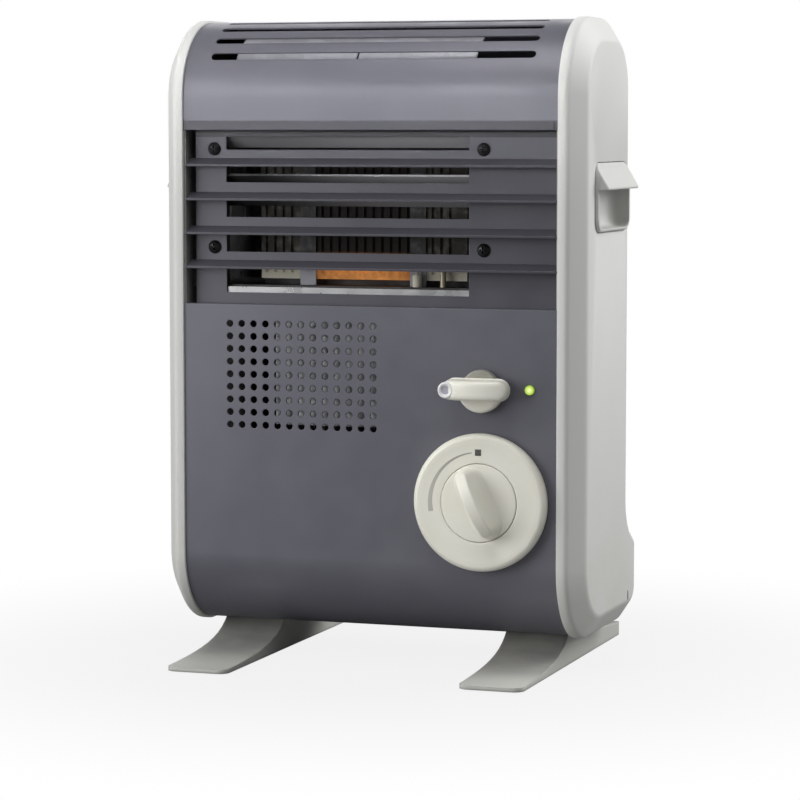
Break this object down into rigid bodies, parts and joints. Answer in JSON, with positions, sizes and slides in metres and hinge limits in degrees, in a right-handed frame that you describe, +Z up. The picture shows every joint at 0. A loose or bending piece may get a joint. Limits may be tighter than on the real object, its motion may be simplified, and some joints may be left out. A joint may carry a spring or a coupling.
{
  "type": "portable gas heater",
  "caption": "Upright portable gas fan heater with a louvred front, round dial, lock lever, side grips, two ski feet and a rear bay for a lying gas canister.",
  "frame": {"origin": "on the floor, at the middle of the width and of the feet's length", "axes": "+X to the viewer's right, front faces -Y, +Z up"},
  "size_m": [0.309, 0.244, 0.428],
  "materials": {
    "panel_paint": "satin dark grey paint",
    "cover_plastic": "fine matt light grey",
    "cream_plastic": "soft gloss cream",
    "zinc_steel": "galvanised sheet",
    "burner_steel": "heat-tinted stainless",
    "ceramic": "rough fired ceramic",
    "hot_ceramic": "glowing ceramic",
    "brass": "turned",
    "dark_plastic": "matt",
    "screw_black": "blackened",
    "rubber": "matt",
    "aluminium": "extruded",
    "tinplate": "lacquered",
    "lamp_lens": "lit lens",
    "wire": "insulated",
    "dark_door": "satin dark grey"
  },
  "bodies": {
    "casing": {"base_plate": "panel_paint", "left_foot": "cover_plastic", "right_foot": "cover_plastic", "foot_pads": "rubber", "left_side_cover": "cover_plastic", "right_side_cover": "cover_plastic", "left_handle": "cover_plastic", "right_handle": "cover_plastic", "left_side_plate": "zinc_steel", "right_side_plate": "zinc_steel", "top_hood": "panel_paint", "top_baffle": "zinc_steel", "front_panel": "panel_paint", "louvre_plate": "panel_paint", "louvre_blades": "panel_paint", "guide_fins": "zinc_steel", "louvre_rails": "zinc_steel", "louvre_screws": "screw_black", "rear_cover": "panel_paint", "rear_screws": "zinc_steel", "gas_divider": "zinc_steel", "burner_tray": "zinc_steel", "burner_lip": "tinplate", "burner_box": "burner_steel", "burner_plate": "hot_ceramic", "burner_end_tiles": "ceramic", "burner_brackets": "burner_steel", "mixing_tube": "burner_steel", "injector": "brass", "feed_pipe": "brass", "burner_pipe": "brass", "governor": "zinc_steel", "valve_body": "brass", "igniter": "dark_plastic", "spark_electrode": "ceramic", "thermocouple": "brass", "thermoelectric_module": "ceramic", "heat_sink": "aluminium", "module_wires": "wire", "fan_housing": "zinc_steel", "fan_bracket": "zinc_steel", "fan_motor": "burner_steel", "canister_cradle": "zinc_steel", "heat_plate": "aluminium", "dial_plate": "cream_plastic", "led_lens": "lamp_lens", "led_holder": "dark_plastic", "lever_bush": "dark_plastic", "lever_bracket": "zinc_steel", "tip_switch_bracket": "dark_plastic", "door_hinge_pins": "burner_steel"},
    "dial": {"dial_knob": "cream_plastic", "valve_spindle": "burner_steel"},
    "lever": {"set_lever": "cream_plastic", "lever_shaft": "burner_steel"},
    "canister": {"gas_canister": "tinplate", "canister_carriage": "zinc_steel"},
    "canister_door": {"canister_door": "dark_door"},
    "fan": {"fan_rotor": "dark_plastic"},
    "tip_weight": {"tip_weight": "burner_steel"}
  },
  "joints": [
    {"name": "dial_turn", "type": "hinge", "parent": "casing", "child": "dial", "pos_m": [0.079, -0.08, 0.11448], "axis": [0, 1, 0], "range_deg": [-64, 26]},
    {"name": "lever_turn", "type": "hinge", "parent": "casing", "child": "lever", "pos_m": [0.079, -0.08, 0.18801], "axis": [0, 1, 0], "range_deg": [0, 90]},
    {"name": "canister_shift", "type": "slide", "parent": "casing", "child": "canister", "axis": [1, 0, 0], "range_m": [-0.007, 0]},
    {"name": "door_swing", "type": "hinge", "parent": "casing", "child": "canister_door", "pos_m": [0, 0.062, 0.038], "axis": [-1, 0, 0], "range_deg": [0, 85]},
    {"name": "fan_spin", "type": "hinge", "parent": "casing", "child": "fan", "pos_m": [-0.0285, -0.02, 0.196], "axis": [0, 1, 0], "continuous": true},
    {"name": "tip_swing", "type": "hinge", "parent": "casing", "child": "tip_weight", "pos_m": [0.12, 0.03, 0.182], "axis": [1, 0, 0], "range_deg": [-20, 20]}
  ],
  "couplings": [
    {"joint": "lever_turn", "follows": "canister_shift", "rad_per_m": -224.39}
  ]
}
